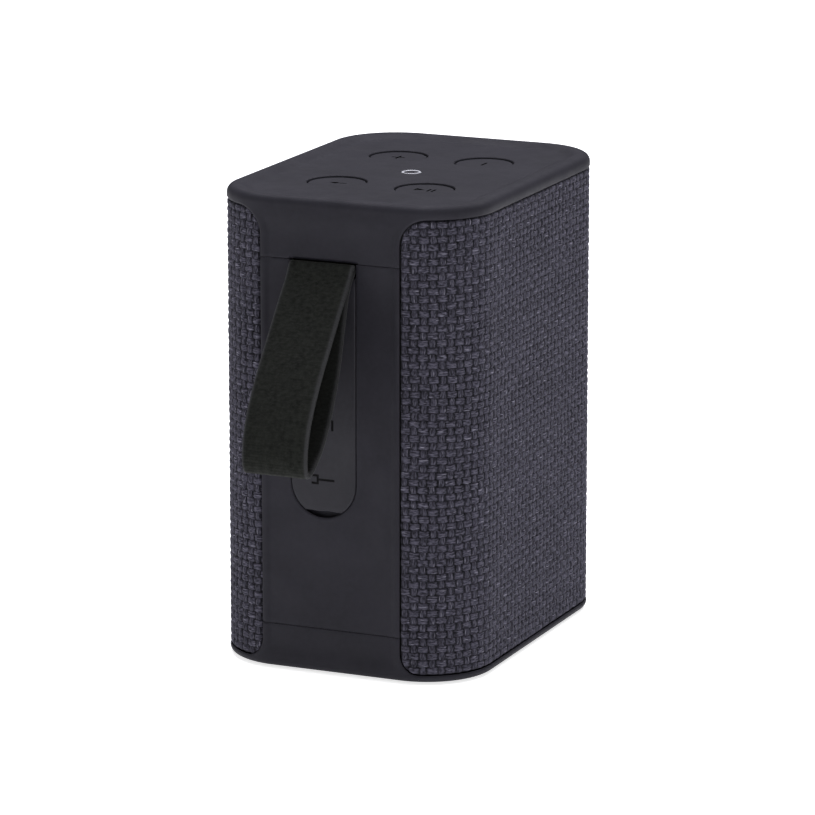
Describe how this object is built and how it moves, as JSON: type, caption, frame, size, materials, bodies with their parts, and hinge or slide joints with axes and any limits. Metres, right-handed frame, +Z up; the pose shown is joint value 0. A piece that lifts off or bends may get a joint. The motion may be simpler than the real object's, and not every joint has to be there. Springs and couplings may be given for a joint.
{
  "type": "shower speaker",
  "caption": "Upright fabric-wrapped wireless speaker with a dished button top, a rear strap loop and a soft cover over its sockets.",
  "frame": {"origin": "centre of the foot pad's flat underside, under the middle of the body", "axes": "+Z up; -Y is the plain cloth front that the driver faces; +Y is the rear spine with the strap and port cover; +X is to the left when looking at the spine"},
  "size_m": [0.0616, 0.1083, 0.105],
  "materials": {
    "shell": "fine matte",
    "buttons": "fine matte",
    "cover": "soft matte",
    "cloth": "coarse plain weave",
    "webbing": "fine woven",
    "inner_shell": "matte",
    "rubber": "matte",
    "board": "solder mask",
    "chips": "satin",
    "steel": "satin",
    "ferrite": "rough",
    "cone": "pressed paper",
    "spider": "impregnated cloth",
    "copper": "wound wire",
    "cell": "shrink sleeve",
    "wire": "satin",
    "light": "frosted"
  },
  "bodies": {
    "housing": {"top_cap": "shell", "spine_panel": "shell", "base_cap": "shell", "fabric_wrap": "cloth", "chassis": "inner_shell", "foot_pad": "rubber", "cap_seal": "rubber", "base_seal": "rubber", "key_membrane": "rubber", "key_switches": "chips", "control_board": "board", "control_screws": "steel", "light_ring": "light", "mic_capsule": "chips", "port_gasket": "rubber", "usb_socket": "steel", "aux_jack": "chips", "strap_tail": "webbing", "strap_clamp": "steel", "clamp_screws": "steel", "baffle": "inner_shell", "chamber": "inner_shell", "driver_basket": "inner_shell", "driver_surround": "rubber", "driver_spider": "spider", "top_plate": "steel", "magnet": "ferrite", "yoke": "steel", "driver_screws": "steel", "radiator_surround": "rubber", "battery": "cell", "battery_cradle": "inner_shell", "battery_lead": "wire", "main_board": "board", "board_parts": "chips", "board_screws": "steel", "flex_cable": "copper", "cap_screws": "steel", "base_screws": "steel"},
    "button_plus": {"button_plus": "buttons"},
    "button_minus": {"button_minus": "buttons"},
    "button_play": {"button_play": "buttons"},
    "button_power": {"button_power": "buttons"},
    "port_cover": {"port_cover": "cover"},
    "strap": {"strap": "webbing"},
    "driver_cone": {"driver_cone": "cone", "dust_cap": "cone", "voice_coil": "copper"},
    "radiator_plate": {"radiator_plate": "cone"}
  },
  "joints": [
    {"name": "button_plus_press", "type": "slide", "parent": "housing", "child": "button_plus", "axis": [0, 0, -1], "range_m": [0, 0.0005], "stiffness_N_per_m": 900, "springref_m": -0.0003},
    {"name": "button_minus_press", "type": "slide", "parent": "housing", "child": "button_minus", "axis": [0, 0, -1], "range_m": [0, 0.0005], "stiffness_N_per_m": 900, "springref_m": -0.0003},
    {"name": "button_play_press", "type": "slide", "parent": "housing", "child": "button_play", "axis": [0, 0, -1], "range_m": [0, 0.0005], "stiffness_N_per_m": 900, "springref_m": -0.0003},
    {"name": "button_power_press", "type": "slide", "parent": "housing", "child": "button_power", "axis": [0, 0, -1], "range_m": [0, 0.0005], "stiffness_N_per_m": 900, "springref_m": -0.0003},
    {"name": "port_cover_lift", "type": "hinge", "parent": "housing", "child": "port_cover", "pos_m": [0.0026, 0.0416, 0.0901], "axis": [1, 0, 0], "range_deg": [0, 55]},
    {"name": "strap_swing", "type": "hinge", "parent": "port_cover", "child": "strap", "pos_m": [0.0026, 0.0416, 0.0901], "axis": [1, 0, 0], "range_deg": [-10, 55], "stiffness_Nm_per_rad": 0.03},
    {"name": "driver_cone_stroke", "type": "slide", "parent": "housing", "child": "driver_cone", "axis": [0, -1, 0], "range_m": [-0.001, 0.001], "stiffness_N_per_m": 1500},
    {"name": "radiator_stroke", "type": "slide", "parent": "housing", "child": "radiator_plate", "axis": [0, -1, 0], "range_m": [-0.0015, 0.0015], "stiffness_N_per_m": 800}
  ]
}
